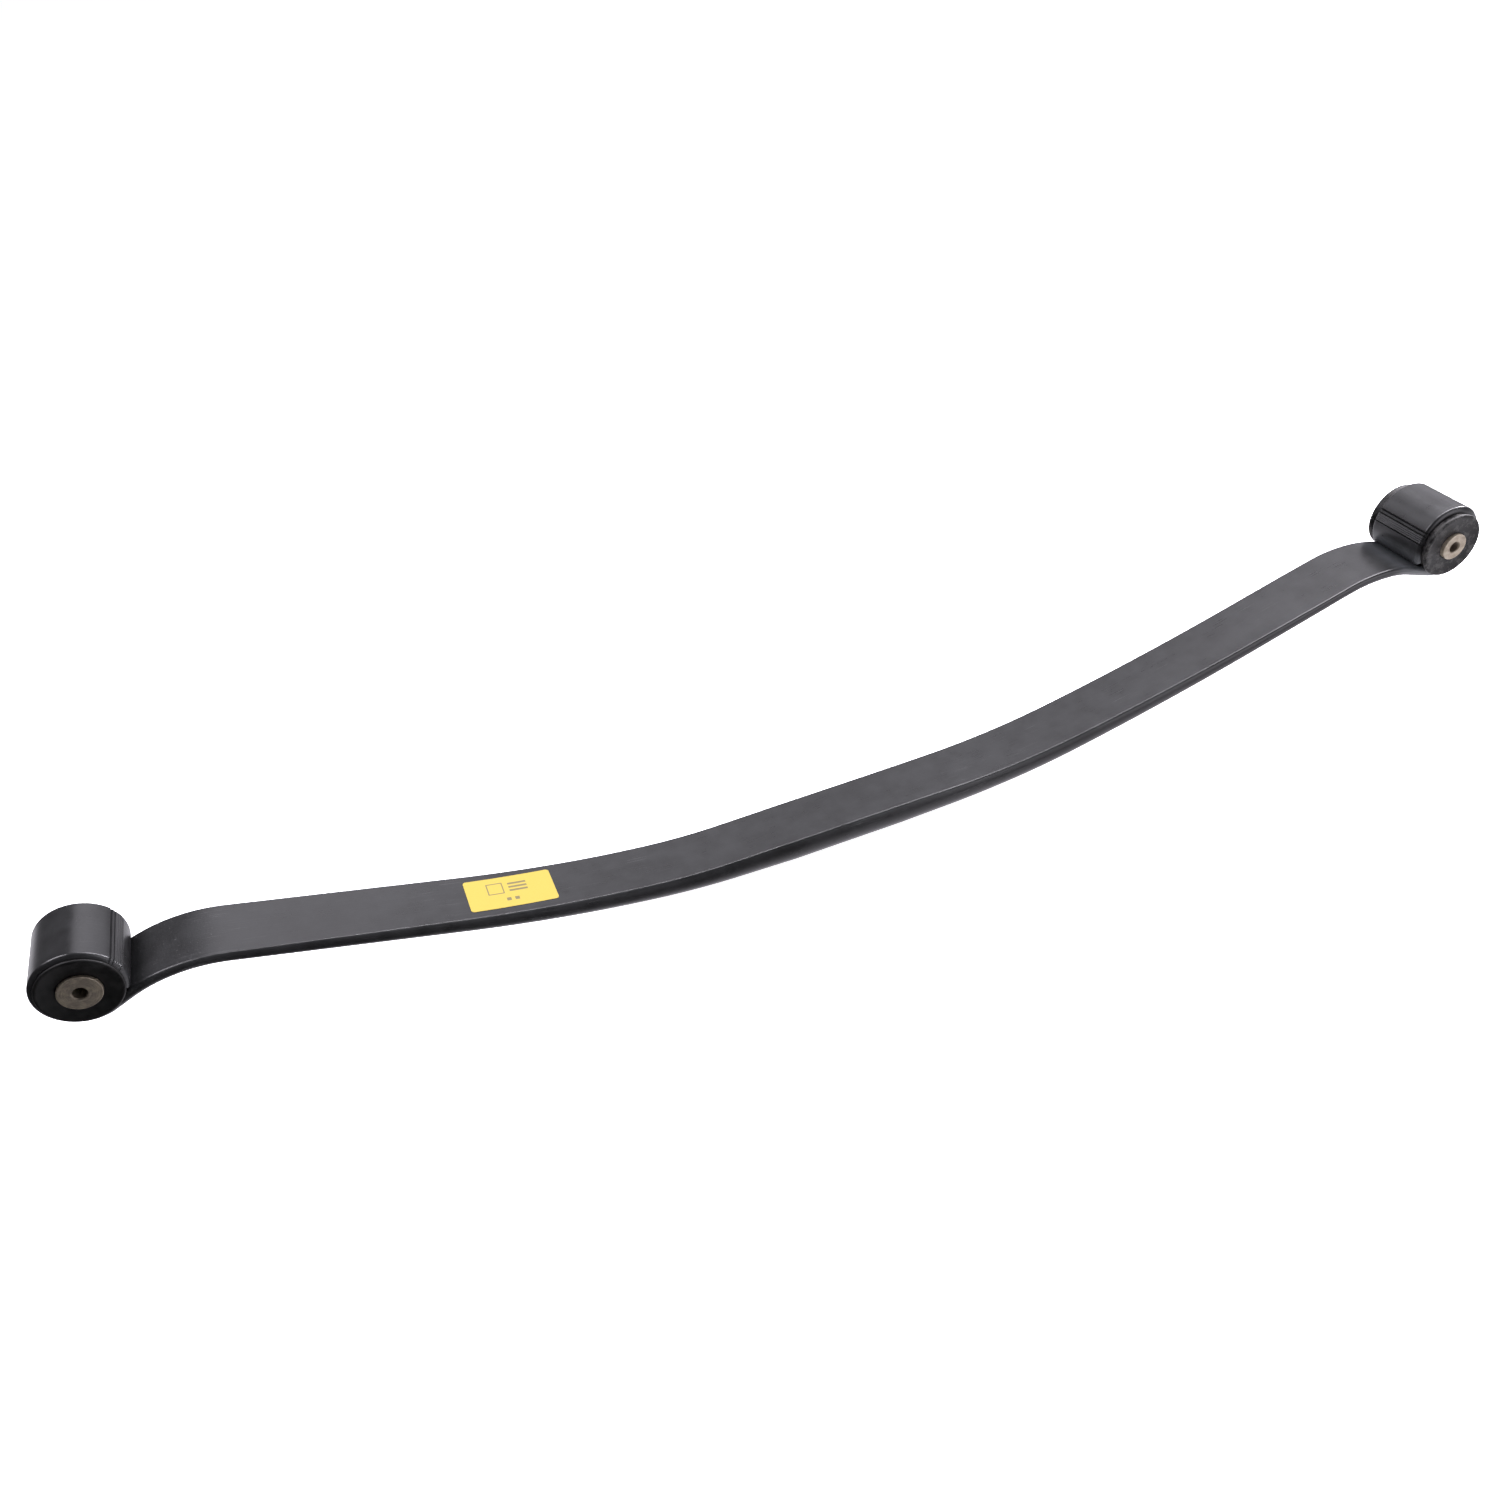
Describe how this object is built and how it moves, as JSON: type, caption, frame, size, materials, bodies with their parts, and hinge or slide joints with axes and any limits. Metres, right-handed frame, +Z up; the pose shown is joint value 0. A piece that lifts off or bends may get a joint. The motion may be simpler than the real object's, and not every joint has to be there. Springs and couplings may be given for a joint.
{
  "type": "leaf spring",
  "caption": "Single tapered-leaf suspension spring with a rolled eye at each end, rubber bushes with steel sleeves, satin black paint and a plain yellow label.",
  "frame": {"origin": "middle of the flat underside of the leaf, where it sits on the axle", "axes": "+X along the spring from the front eye to the rear eye, +Y along the eye axes towards the vehicle's right, +Z up from the axle seat"},
  "size_m": [1.5168, 0.092, 0.1783],
  "materials": {
    "leaf_paint": "satin black paint",
    "sleeve_steel": "bare machined steel, lightly oxidised",
    "bush_rubber": "matte black rubber with dust",
    "label_film": "yellow adhesive film with plain marks"
  },
  "bodies": {
    "leaf_seat": {"leaf_centre": "leaf_paint"},
    "front_arm": {"front_leaf_arm": "leaf_paint", "front_eye_rubber_left": "bush_rubber", "front_eye_rubber_right": "bush_rubber", "label": "label_film"},
    "rear_arm": {"rear_leaf_arm": "leaf_paint", "rear_eye_rubber_left": "bush_rubber", "rear_eye_rubber_right": "bush_rubber"},
    "front_sleeve": {"front_eye_sleeve": "sleeve_steel"},
    "rear_sleeve": {"rear_eye_sleeve": "sleeve_steel"}
  },
  "joints": [
    {"name": "front_leaf_flex", "type": "hinge", "parent": "leaf_seat", "child": "front_arm", "pos_m": [-0.22308, 0, 0.02298], "axis": [0, -1, 0], "range_deg": [-3, 13], "stiffness_Nm_per_rad": 16750},
    {"name": "rear_leaf_flex", "type": "hinge", "parent": "leaf_seat", "child": "rear_arm", "pos_m": [0.2282, 0, 0.02174], "axis": [0, 1, 0], "range_deg": [-3, 13], "stiffness_Nm_per_rad": 15650},
    {"name": "front_bush_twist", "type": "hinge", "parent": "front_arm", "child": "front_sleeve", "pos_m": [-0.70683, 0, 0.13731], "axis": [0, 1, 0], "range_deg": [-20, 20], "stiffness_Nm_per_rad": 417},
    {"name": "rear_bush_twist", "type": "hinge", "parent": "rear_arm", "child": "rear_sleeve", "pos_m": [0.72804, 0, 0.13698], "axis": [0, 1, 0], "range_deg": [-20, 20], "stiffness_Nm_per_rad": 235}
  ]
}
